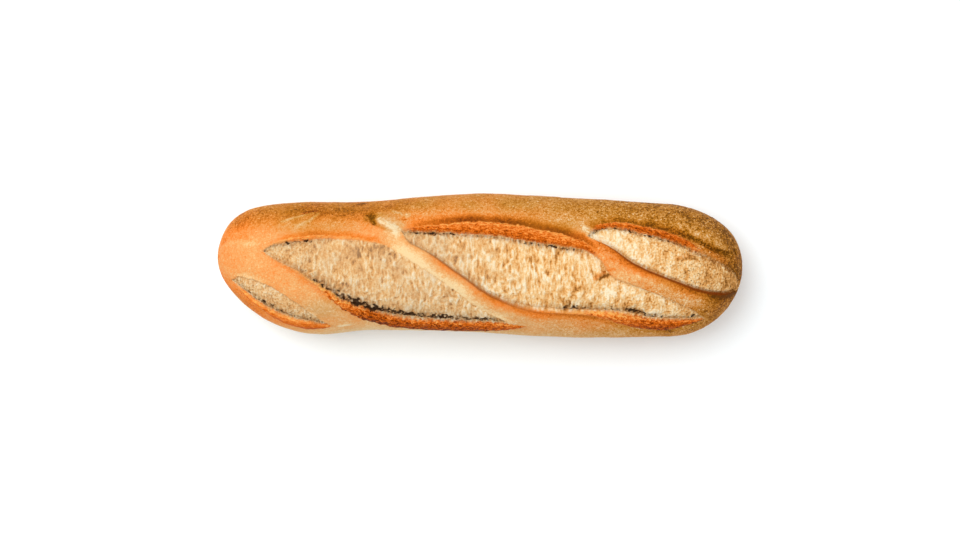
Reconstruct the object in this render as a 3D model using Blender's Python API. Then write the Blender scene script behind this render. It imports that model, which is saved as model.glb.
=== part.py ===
"""A mini baguette: one baked loaf whose slanting cuts opened in the oven.

The loaf lies on its flat base with its crown up. X runs along it, Y across it and Z up.
The origin is the middle of the base, halfway along and across the loaf's outer box.
A place on the crust is given by how far along the loaf it is, in millimetres from the
middle, and by its angle round the loaf from the crown line, positive towards +Y.
"""

import bpy
import numpy as np

MM = 0.001

# Outer form
LENGTH = 220 * MM
WIDEST_HEIGHT = 17.5 * MM  # of the line where the loaf is widest
LEFT_CAP = 40 * MM  # how far each end takes to round off
RIGHT_CAP = 31 * MM
BASE_LEFT_CAP = 25 * MM  # the base stays low nearer to the tips than the sides stay wide
BASE_RIGHT_CAP = 21 * MM
BASE_BELOW = 1.6 * MM  # the rounded underside would reach this far below the flat base
CROWN_ROUNDNESS = 2.15  # 2 is an ellipse and more is squarer
BASE_ROUNDNESS = 2.7

# How the loaf changes along its length, each as pairs of place and size in millimetres
HALF_WIDTH = ((-110, 28.4), (-96, 27.9), (-82, 27.4), (-68, 27.7), (-47, 27.0), (-22, 28.1), (0, 29.1),
              (22, 29.4), (66, 28.4), (90, 27.5), (110, 27.5))
MIDDLE_LINE = ((-110, 4.2), (-104.5, 4.7), (-98, 3.6), (-90, 1.9), (-82, 0.7), (-68, -0.4), (-42, 0.7),
               (-6, 1.8), (40, -0.3), (62, -0.9), (78, -1.35), (98, -1.2), (110, 0.4))
RISE_ABOVE_WIDEST = ((-110, 25.0), (-72, 25.4), (-20, 26.6), (35, 26.8), (80, 26.0), (110, 25.0))

# The cuts. Each edge runs from the left end of its cut to the right end, through points of
# place, angle, depth of the gap just inside it and height of the lip just outside it.
# The crumb between the edges sinks or rises by the amounts given, in millimetres.
CUTS = (
    {  # the short cut low on the left end
        "upper": ((-103.6, -40, 0.3, 0.2), (-99.9, -24, 0.5, 0.4), (-94, -19, 0.5, 0.4),
                  (-86, -21, 0.5, 0.3), (-78, -28, 0.4, 0.3), (-69.7, -42, 0.3, 0.2),
                  (-60.9, -61, 0.1, 0.0)),
        "lower": ((-103.6, -40, 0.3, 0.2), (-97.6, -44, 0.7, 0.5), (-90.5, -48, 0.5, 0.7),
                  (-84.5, -51, 0.5, 0.8), (-76, -53, 0.4, 0.8), (-71, -54, 0.4, 0.8),
                  (-66, -57, 0.8, 0.6), (-60.9, -61, 0.2, 0.2)),
        "sink_at_upper": 0.3, "sink_at_lower": 0.6, "dome": 0.3,
    },
    {  # the long cut left of the middle
        "upper": ((-90.5, 10, 0.2, 0.2), (-86.5, 16, 0.6, 0.4), (-81, 20, 0.8, 0.5),
                  (-72, 23, 0.8, 0.6), (-66, 25, 0.6, 0.6), (-56, 24, 0.4, 0.5),
                  (-47, 20.5, 0.3, 0.4), (-40, 16.5, 0.3, 0.2), (-31.5, 6, 0.2, 0.0),
                  (-13.2, -16.5, 0.2, 0.0), (-0.2, -37.5, 0.2, 0.0), (9, -49, 0.2, 0.0),
                  (14, -55, 0.2, 0.0), (20.2, -58.5, 0.1, 0.0)),
        "lower": ((-90.5, 10, 0.3, 0.2), (-83, 2, 0.5, 0.4), (-76, -2, 0.6, 0.5),
                  (-70.5, -8, 0.6, 0.6), (-64, -16.5, 0.6, 0.8), (-58, -26.5, 0.6, 0.9),
                  (-51, -36, 0.6, 1.0), (-45, -43, 0.5, 1.0), (-41.1, -46.5, 0.4, 1.0),
                  (-37.5, -50.5, 0.3, 1.0), (-33.9, -54, 0.3, 1.0), (-26.6, -56, 0.3, 1.0),
                  (-19.4, -58, 0.3, 1.0), (-8.4, -59.5, 0.3, 0.9), (5.9, -57.5, 0.3, 0.8),
                  (15.5, -57.5, 0.3, 0.5), (20.2, -58.5, 0.2, 0.2)),
        "sink_at_upper": 0.0, "sink_at_lower": 1.0, "dome": 0.4,
    },
    {  # the long cut across the middle
        "upper": ((-32.3, 28, 0.4, 0.3), (-26, 28, 0.6, 0.5), (-16, 26, 0.6, 0.8),
                  (-6.4, 24, 0.6, 1.0), (8.1, 22, 0.5, 1.2), (22.7, 18, 0.5, 1.3),
                  (35.1, 16, 0.5, 1.1), (43.4, 13, 0.7, 0.7), (49.5, 5, 0.6, 0.2),
                  (54, -5, 0.6, 0.0), (63.4, -12, 0.4, 0.0), (77.8, -23, 0.4, 0.0),
                  (87.7, -36, 0.4, 0.0), (93.6, -53, 0.1, 0.0)),
        "lower": ((-32.3, 27, 0.6, 0.2), (-30, 19, 0.9, 0.2), (-21.5, 8, 1.1, 0.2),
                  (-8.4, -8, 1.2, 0.3), (4, -24, 1.2, 0.4), (16.5, -34, 1.0, 0.5),
                  (28.9, -37.5, 0.8, 0.7), (38, -38, 0.7, 0.8), (45.6, -38, 0.7, 0.9),
                  (57.9, -39, 0.4, 1.1), (62, -41, 0.4, 1.1), (66.3, -43.5, 0.4, 1.1),
                  (76.3, -47, 0.4, 1.0), (87, -49, 0.4, 0.7), (93.6, -53, 0.3, 0.2)),
        "sink_at_upper": 0.8, "sink_at_lower": 0.8, "dome": 0.5,
    },
    {  # the cut towards the right end
        "upper": ((44.3, 25, 0.5, 0.2), (47.6, 32.5, 0.7, 0.4), (53, 36, 0.6, 0.7),
                  (65.4, 32, 0.6, 1.0), (75.3, 27.5, 0.6, 1.1), (82, 23.5, 0.7, 1.0),
                  (88, 18.5, 0.6, 0.8), (95.1, 12, 0.5, 0.7), (104, 0, 0.4, 0.4),
                  (107.6, -27, 0.3, 0.2), (108.6, -90, 0.1, 0.0)),
        "lower": ((44.3, 25, 0.5, 0.2), (53, 17, 1.2, 0.2), (63, 4, 1.5, 0.2), (72.8, -3, 1.6, 0.2),
                  (82.7, -10, 1.6, 0.3), (92.7, -19, 1.6, 0.4), (100, -28, 1.3, 0.3),
                  (105, -41, 0.9, 0.2), (107.4, -62, 0.5, 0.0), (108.6, -90, 0.1, 0.0)),
        "sink_at_upper": 0.7, "sink_at_lower": 0.8, "dome": 1.1,
    },
)

# Raised and sunk lines on the crust, through points of place, angle, height and half width
ROLLS = (
    # the roll of crust between the two long cuts
    ((-39, 37, 0.8, 4.5), (-31, 19, 1.6, 5.0), (-21, 1, 2.0, 5.2), (-8, -17, 2.0, 5.2),
     (8, -36, 1.8, 5.0), (26, -46, 1.0, 5.0)),
    # the roll of crust between the middle cut and the right one
    ((42, 21, 0.6, 3.5), (48, 13, 1.8, 3.6), (58, 0, 2.2, 4.0), (72, -10, 2.2, 4.4),
     (86, -21, 1.8, 4.6), (98, -38, 1.0, 5.0)),
    # the crust between the short cut and the long one on its right
    ((-98, -6, 0.2, 5.0), (-80, -18, 0.7, 6.0), (-62, -32, 0.9, 6.5), (-50, -50, 0.4, 6.0)),
    # the hard ridge and the pinch beside it, above the start of the middle cut
    ((-45, 47, 0, 1.6), (-42, 40.5, 0.9, 1.8), (-38.6, 34.5, 1.1, 2.0), (-35.3, 29.5, 0.9, 2.2),
     (-32, 24, 0, 1.6)),
    ((-46, 53, 0, 1.6), (-44.6, 46, -1.2, 1.8), (-43.8, 41, -1.4, 1.6), (-40, 33, -0.8, 1.5),
     (-36, 28, 0, 1.5)),
    # the bulge beside the right tip, and the valley under it where a short cut barely opened
    ((85, 43, 0.2, 3.5), (91, 38, 1.0, 4.2), (97, 33, 1.2, 4.2), (102, 29, 0.7, 3.2)),
    ((80, 37, 0, 1.6), (85, 32, -0.4, 1.6), (88.5, 28.8, -0.9, 1.6), (92.4, 25.4, -1.1, 1.6),
     (95.7, 22, -1.1, 1.6), (100.5, 18, -0.9, 1.5), (105.5, 19, 0, 1.2)),
)

GAP_WIDTH = 2.2 * MM  # from a cut's edge to where its gap has mostly risen again
LIP_WIDTH = 2.1 * MM
LIP_SET_BACK = 1.5 * MM  # of the lip's highest line from the edge
FURROW_WIDTH = 1.5 * MM  # of the furrow behind a lip
FURROW_SET_BACK = 4.9 * MM
FURROW_SHARE = 0.45  # of the lip's height
WALL_WIDTH = 1.3 * MM  # of the slope from a lip down into its gap
CRUMB_TAPER = 8 * MM  # a cut narrower than this sinks less
CRUST_RADIUS = 27.5 * MM  # turns an angle into about the distance round the loaf

# Mesh
COLUMN_STEP = 0.7 * MM
CAP_LENGTHS = 1.4  # how much longer the curve of a rounded end is than the end itself
TOP_ANGLE = 105  # degrees each way from the crown line that the closer rows cover
TOP_ROWS = 150
BASE_ROWS = 36
EDGE_POINTS = 160
TRIANGLES = 11400
FLAT_WITHIN = 0.02 * MM  # points this near the base lie on it


def smooth(knots, values, places):
    """Read, at the given places, the smooth curve that takes the values at the knots."""
    slopes = np.gradient(values, knots)
    left = np.clip(np.searchsorted(knots, places) - 1, 0, len(knots) - 2)
    step = knots[left + 1] - knots[left]
    t = (places - knots[left]) / step
    start = (1 + 2 * t) * (1 - t) ** 2 * values[left] + t * (1 - t) ** 2 * step * slopes[left]
    end = t * t * (3 - 2 * t) * values[left + 1] + t * t * (t - 1) * step * slopes[left + 1]
    return start + end


def along_loaf(pairs, x):
    """Read, in metres, a size that is given along the loaf as pairs in millimetres."""
    table = np.array(pairs, float) * MM
    return smooth(table[:, 0], table[:, 1], x)


def rounded_ends(x, left_cap, right_cap):
    """Give 1 along the loaf, falling to 0 at each tip as a quarter of an ellipse does."""
    from_left = np.clip((x + LENGTH / 2) / left_cap, 0, 1)
    from_right = np.clip((LENGTH / 2 - x) / right_cap, 0, 1)
    return np.sqrt(1 - (1 - from_left) ** 2) * np.sqrt(1 - (1 - from_right) ** 2)


def plain_loaf(x, angle):
    """Find the points of the uncut loaf at places along it and angles in radians."""
    above = np.cos(angle) >= 0
    power = np.where(above, 2 / CROWN_ROUNDNESS, 2 / BASE_ROUNDNESS)
    outward = np.sign(np.sin(angle)) * np.abs(np.sin(angle)) ** power
    upward = np.sign(np.cos(angle)) * np.abs(np.cos(angle)) ** power
    ends = rounded_ends(x, LEFT_CAP, RIGHT_CAP)
    base_ends = rounded_ends(x, BASE_LEFT_CAP, BASE_RIGHT_CAP)
    y = along_loaf(MIDDLE_LINE, x) + along_loaf(HALF_WIDTH, x) * ends * outward
    rise = along_loaf(RISE_ABOVE_WIDEST, x) * ends
    drop = (WIDEST_HEIGHT + BASE_BELOW) * base_ends
    z = WIDEST_HEIGHT + np.where(above, rise, drop) * upward
    return np.stack((x, y, np.maximum(z, 0)), axis=-1)


def curve_on_crust(points):
    """Draw a smooth curve through points of place, angle and two sizes in millimetres.

    Returns its places and angles, its points in space and the two sizes along it.
    """
    table = np.array(points, float)
    table[:, 0] *= MM
    table[:, 1] = np.radians(table[:, 1])
    table[:, 2:] *= MM
    unrolled = table[:, :2] * (1, CRUST_RADIUS)
    steps = np.linalg.norm(np.diff(unrolled, axis=0), axis=1)
    travelled = np.concatenate(([0], np.cumsum(steps)))
    places = np.linspace(0, travelled[-1], EDGE_POINTS)
    x, angle, first, second = (smooth(travelled, column, places) for column in table.T)
    x = np.clip(x, -LENGTH / 2, LENGTH / 2)
    return x, angle, plain_loaf(x, angle), first, second


def nearest_on_curve(points, curve):
    """Find how far each point is from a curve, and the curve's two sizes there."""
    _, _, line, first, second = curve
    squares = (points ** 2).sum(1)[:, None] - 2 * points @ line.T + (line ** 2).sum(1)
    nearest = np.clip(squares.argmin(1), 1, len(line) - 2)
    best = np.full(len(points), np.inf)
    first_there = np.zeros(len(points))
    second_there = np.zeros(len(points))
    for start in (nearest - 1, nearest):
        run = line[start + 1] - line[start]
        share = ((points - line[start]) * run).sum(1) / (run ** 2).sum(1)
        share = np.clip(share, 0, 1)
        distance = np.linalg.norm(points - line[start] - share[:, None] * run, axis=1)
        closer = distance < best
        best = np.where(closer, distance, best)
        first_here = first[start] + share * (first[start + 1] - first[start])
        second_here = second[start] + share * (second[start + 1] - second[start])
        first_there = np.where(closer, first_here, first_there)
        second_there = np.where(closer, second_here, second_there)
    return best, first_there, second_there


def ease(t):
    """Rise smoothly from 0 to 1 as t does."""
    t = np.clip(t, 0, 1)
    return t * t * (3 - 2 * t)


def edge_height(inside, distance, gap, lip):
    """Give the height near a cut's edge: a gap just inside it and a lip just outside it."""
    within = ease(0.5 + np.where(inside, distance, -distance) / WALL_WIDTH)
    hollow = -gap * np.exp(-(distance / GAP_WIDTH) ** 2)
    raised = lip * np.exp(-((distance - LIP_SET_BACK) / LIP_WIDTH) ** 2)
    raised -= lip * FURROW_SHARE * np.exp(-((distance - FURROW_SET_BACK) / FURROW_WIDTH) ** 2)
    return within * hollow + (1 - within) * raised


def cut_height(cut, x, angle, points):
    """Give the height that one cut adds to the crust, less than 0 where it is sunk."""
    upper = curve_on_crust(cut["upper"])
    lower = curve_on_crust(cut["lower"])
    above = np.interp(x, lower[0], lower[1]) < angle
    below = angle < np.interp(x, upper[0], upper[1])
    inside = above & below & (x > upper[0][0]) & (x < upper[0][-1])
    upper_distance, upper_gap, upper_lip = nearest_on_curve(points, upper)
    lower_distance, lower_gap, lower_lip = nearest_on_curve(points, lower)
    width = upper_distance + lower_distance
    across = lower_distance / width
    crumb = 4 * cut["dome"] * across * (1 - across)
    crumb -= cut["sink_at_upper"] * across ** 2 + cut["sink_at_lower"] * (1 - across) ** 2
    crumb *= MM * ease(width / CRUMB_TAPER) * ease(np.minimum(upper_distance, lower_distance) / WALL_WIDTH)
    height = np.where(inside, crumb, 0)
    height += edge_height(inside, upper_distance, upper_gap, upper_lip)
    height += edge_height(inside, lower_distance, lower_gap, lower_lip)
    return height


def crust_height(x, angle, points):
    """Give the height of the whole relief at each point of the plain loaf."""
    height = np.zeros(len(points))
    for roll in ROLLS:
        distance, raised, half_width = nearest_on_curve(points, curve_on_crust(roll))
        height += raised * np.exp(-(distance / half_width) ** 2)
    for cut in CUTS:
        height += cut_height(cut, x, angle, points)
    return height


def column_places():
    """Space the columns evenly, and closer near the tips, where the loaf rounds off."""
    left_turns = np.linspace(0, np.pi / 2, round(CAP_LENGTHS * LEFT_CAP / COLUMN_STEP))
    right_turns = np.linspace(np.pi / 2, 0, round(CAP_LENGTHS * RIGHT_CAP / COLUMN_STEP))
    left = -LENGTH / 2 + LEFT_CAP * (1 - np.cos(left_turns))
    right = LENGTH / 2 - RIGHT_CAP * (1 - np.cos(right_turns))
    middle = np.arange(left[-1] + COLUMN_STEP, right[0] - COLUMN_STEP / 2, COLUMN_STEP)
    return np.concatenate((left[1:], middle, right[:-1]))


def row_angles():
    """Space the rows round the loaf, closer on top, where the cuts are."""
    top = np.radians(np.linspace(-TOP_ANGLE, TOP_ANGLE, TOP_ROWS))
    base = np.radians(np.linspace(TOP_ANGLE, 360 - TOP_ANGLE, BASE_ROWS))
    return np.concatenate((top, base[1:-1]))


def loaf_mesh():
    """Model the crust as a closed grid of rings with a point at each tip."""
    columns, rows = np.meshgrid(column_places(), row_angles(), indexing="ij")
    plain = plain_loaf(columns, rows)
    around = np.roll(plain, -1, axis=1) - np.roll(plain, 1, axis=1)
    normals = np.cross(np.gradient(plain, axis=0), around)
    normals /= np.maximum(np.linalg.norm(normals, axis=2, keepdims=True), 1e-12)
    wrapped = np.where(rows > np.pi, rows - 2 * np.pi, rows)
    height = crust_height(columns.ravel(), wrapped.ravel(), plain.reshape(-1, 3)).reshape(columns.shape)
    on_base = plain[:, :, 2] <= 0
    shaped = plain + normals * np.where(on_base, 0, height)[:, :, None]
    shaped[:, :, 2] = np.maximum(shaped[:, :, 2], 0)

    tips = plain_loaf(np.array((-LENGTH / 2, LENGTH / 2)), np.zeros(2))
    points = np.concatenate((shaped.reshape(-1, 3), tips))
    ring_count, ring_size = columns.shape
    left_tip, right_tip = ring_count * ring_size, ring_count * ring_size + 1
    faces = []
    for row in range(ring_size):
        following = (row + 1) % ring_size
        faces.append((left_tip, row, following))
        last = (ring_count - 1) * ring_size
        faces.append((right_tip, last + following, last + row))
        for column in range(ring_count - 1):
            start = column * ring_size
            ahead = start + ring_size
            faces.append((start + row, ahead + row, ahead + following, start + following))
    mesh = bpy.data.meshes.new("loaf")
    mesh.from_pydata(points.tolist(), [], faces)
    return mesh


def crust_material():
    """Make the crust's matte golden brown."""
    material = bpy.data.materials.new("crust")
    material.use_nodes = True
    shader = material.node_tree.nodes["Principled BSDF"]
    shader.inputs["Base Color"].default_value = (0.60, 0.33, 0.12, 1)
    shader.inputs["Roughness"].default_value = 0.6
    shader.inputs["Metallic"].default_value = 0
    return material


def thin_out(loaf):
    """Bring the fine grid down to the wanted number of triangles, and centre the loaf."""
    loaf.data.calc_loop_triangles()
    thinner = loaf.modifiers.new("fewer triangles", "DECIMATE")
    thinner.ratio = TRIANGLES / len(loaf.data.loop_triangles)
    shaped = loaf.evaluated_get(bpy.context.evaluated_depsgraph_get())
    mesh = bpy.data.meshes.new_from_object(shaped)
    points = np.array([vertex.co for vertex in mesh.vertices])
    low, high = points.min(axis=0), points.max(axis=0)
    points -= ((low[0] + high[0]) / 2, (low[1] + high[1]) / 2, low[2])
    points[points[:, 2] < FLAT_WITHIN, 2] = 0
    mesh.vertices.foreach_set("co", points.ravel())
    mesh.shade_smooth()
    loaf.modifiers.clear()
    loaf.data = mesh
    mesh.name = "loaf"


for item in list(bpy.data.objects):
    bpy.data.objects.remove(item, do_unlink=True)

loaf = bpy.data.objects.new("loaf", loaf_mesh())
bpy.context.collection.objects.link(loaf)
thin_out(loaf)
loaf.data.materials.clear()
loaf.data.materials.append(crust_material())
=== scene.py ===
"""The looks of a mini baguette, seen from straight above on a white table.

The loaf lies along X with its crown up. A place on its crust is given by how far along
the loaf it is, from the middle, and by its angle round the loaf from the crown line,
positive towards +Y. Lengths in tables are in millimetres and angles in degrees.
"""

import bpy
import numpy as np
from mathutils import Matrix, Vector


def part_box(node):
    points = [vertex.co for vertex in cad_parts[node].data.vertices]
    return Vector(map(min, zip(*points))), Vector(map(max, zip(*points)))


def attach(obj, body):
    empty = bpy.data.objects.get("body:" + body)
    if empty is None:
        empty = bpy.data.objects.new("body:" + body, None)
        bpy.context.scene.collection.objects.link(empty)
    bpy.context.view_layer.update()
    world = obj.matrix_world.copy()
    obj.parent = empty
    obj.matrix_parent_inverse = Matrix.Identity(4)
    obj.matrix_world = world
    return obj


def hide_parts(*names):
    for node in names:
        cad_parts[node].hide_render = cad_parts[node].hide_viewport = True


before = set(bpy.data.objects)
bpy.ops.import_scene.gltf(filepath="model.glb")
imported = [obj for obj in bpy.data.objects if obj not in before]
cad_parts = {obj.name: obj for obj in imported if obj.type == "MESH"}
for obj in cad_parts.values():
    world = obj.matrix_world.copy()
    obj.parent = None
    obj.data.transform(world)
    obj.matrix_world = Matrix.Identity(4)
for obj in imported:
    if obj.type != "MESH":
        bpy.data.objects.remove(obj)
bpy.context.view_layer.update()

# ----------------------------------------------------------------------------------------
# The dough. A piece of wheat dough is rolled by hand into a short thick rope, proved and
# laid on a tray, where its underside sets flat. The hand leaves it a little bent, thicker
# right of the middle and drawn in left of it.

MM = 0.001
LENGTH = 220 * MM
WIDEST_HEIGHT = 17.5 * MM
LEFT_CAP, RIGHT_CAP = 40 * MM, 31 * MM  # how far from each tip the loaf rounds in
BASE_LEFT_CAP, BASE_RIGHT_CAP = 25 * MM, 21 * MM
BASE_BELOW = 1.6 * MM  # how far the round form would reach below the table, were it not flat
CROWN_ROUNDNESS, BASE_ROUNDNESS = 2.15, 2.7  # 2 is an ellipse, and more is squarer
LENGTH_TO_RADIUS = 7.7  # the loaf's length over the mean radius of its section

# Each runs along the loaf by pairs of place and size.
HALF_WIDTH = (
    (-110, 28.4), (-96, 27.9), (-82, 27.4), (-68, 27.7), (-47, 27.0), (-22, 28.1), (0, 29.1),
    (22, 29.4), (66, 28.4), (90, 27.5), (110, 27.5))
MIDDLE_LINE = (
    (-110, 4.2), (-104.5, 4.7), (-98, 3.6), (-90, 1.9), (-82, 0.7), (-68, -0.4), (-42, 0.7),
    (-6, 1.8), (40, -0.3), (62, -0.9), (78, -1.35), (98, -1.2), (110, 0.4))
RISE_ABOVE_WIDEST = (
    (-110, 25.0), (-72, 25.4), (-20, 26.6), (35, 26.8), (80, 26.0), (110, 25.0))


def smooth(knots, values, places):
    """Read, at the given places, the smooth curve that takes the values at the knots."""
    slopes = np.gradient(values, knots)
    left = np.clip(np.searchsorted(knots, places) - 1, 0, len(knots) - 2)
    step = knots[left + 1] - knots[left]
    t = (places - knots[left]) / step
    start = (1 + 2 * t) * (1 - t) ** 2 * values[left] + t * (1 - t) ** 2 * step * slopes[left]
    end = t * t * (3 - 2 * t) * values[left + 1] + t * t * (t - 1) * step * slopes[left + 1]
    return start + end


def along_loaf(pairs, x):
    """Read, in metres, a size that is given along the loaf as pairs in millimetres."""
    table = np.array(pairs, float) * MM
    return smooth(table[:, 0], table[:, 1], x)


def rounded_ends(x, left_cap, right_cap):
    """Give 1 along the loaf, falling to 0 at each tip as a quarter of an ellipse does."""
    from_left = np.clip((x + LENGTH / 2) / left_cap, 0, 1)
    from_right = np.clip((LENGTH / 2 - x) / right_cap, 0, 1)
    return np.sqrt(1 - (1 - from_left) ** 2) * np.sqrt(1 - (1 - from_right) ** 2)


def plain_loaf(x, angle):
    """Find the points of the uncut loaf at places along it and angles in radians."""
    above = np.cos(angle) >= 0
    power = np.where(above, 2 / CROWN_ROUNDNESS, 2 / BASE_ROUNDNESS)
    outward = np.sign(np.sin(angle)) * np.abs(np.sin(angle)) ** power
    upward = np.sign(np.cos(angle)) * np.abs(np.cos(angle)) ** power
    ends = rounded_ends(x, LEFT_CAP, RIGHT_CAP)
    base_ends = rounded_ends(x, BASE_LEFT_CAP, BASE_RIGHT_CAP)
    y = along_loaf(MIDDLE_LINE, x) + along_loaf(HALF_WIDTH, x) * ends * outward
    rise = along_loaf(RISE_ABOVE_WIDEST, x) * ends
    drop = (WIDEST_HEIGHT + BASE_BELOW) * base_ends
    z = WIDEST_HEIGHT + np.where(above, rise, drop) * upward
    return np.stack((x, y, np.maximum(z, 0)), axis=-1)


# The crust is a grid of columns along the loaf and rows round it. The columns draw closer
# towards each tip, and the rows are closest over the cuts and widest under the loaf.
FINE_STEP = 0.32 * MM
CAP_FINENESS = 1.4  # columns to a step of cap
left_turn, right_turn = (
    np.linspace(0, np.pi / 2, round(CAP_FINENESS * cap / FINE_STEP))
    for cap in (LEFT_CAP, RIGHT_CAP)
)
left_columns = -LENGTH / 2 + LEFT_CAP * (1 - np.cos(left_turn))
right_columns = LENGTH / 2 - RIGHT_CAP * (1 - np.cos(right_turn[::-1]))
middle_start = left_columns[-1] + FINE_STEP
middle_end = right_columns[0] - FINE_STEP / 2
middle_columns = np.arange(middle_start, middle_end, FINE_STEP)
column_places = np.concatenate((left_columns[1:], middle_columns, right_columns[:-1]))

DEGREES_PER_STEP = 2 * FINE_STEP / MM  # half a millimetre of crust is about one degree
CUTS_END, SIDE_END = 48, 112
WIDER_ON_SIDE, WIDER_BELOW = 1.7, 4
row_angles = np.radians(np.concatenate((
    np.arange(-SIDE_END, CUTS_END, DEGREES_PER_STEP),
    np.arange(CUTS_END, SIDE_END, WIDER_ON_SIDE * DEGREES_PER_STEP),
    np.arange(SIDE_END, 359 - SIDE_END, WIDER_BELOW * DEGREES_PER_STEP),
)))

columns, rows = np.meshgrid(column_places, row_angles, indexing="ij")
grid_shape = columns.shape
plain = plain_loaf(columns, rows)
around = np.roll(plain, -1, axis=1) - np.roll(plain, 1, axis=1)
normals = np.cross(np.gradient(plain, axis=0), around)
normals /= np.maximum(np.linalg.norm(normals, axis=2, keepdims=True), 1e-12)
plain = plain.reshape(-1, 3)
normals = normals.reshape(-1, 3)
x = columns.ravel()
angle = np.where(rows > np.pi, rows - 2 * np.pi, rows).ravel()
place, degrees = x / MM, np.degrees(angle)  # the same two in the units of the tables
round_loaf = angle * LENGTH / LENGTH_TO_RADIUS  # the distance round the loaf from its crown line
on_base = plain[:, 2] <= 0

# ----------------------------------------------------------------------------------------
# The cuts. The baker slashes the proved loaf on the slant, and in the oven each slash opens:
# its crust tears away along one edge and stands up as a lip, a dark gap stays under the
# lip, and the crumb between the edges swells up pale and fibrous.

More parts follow.
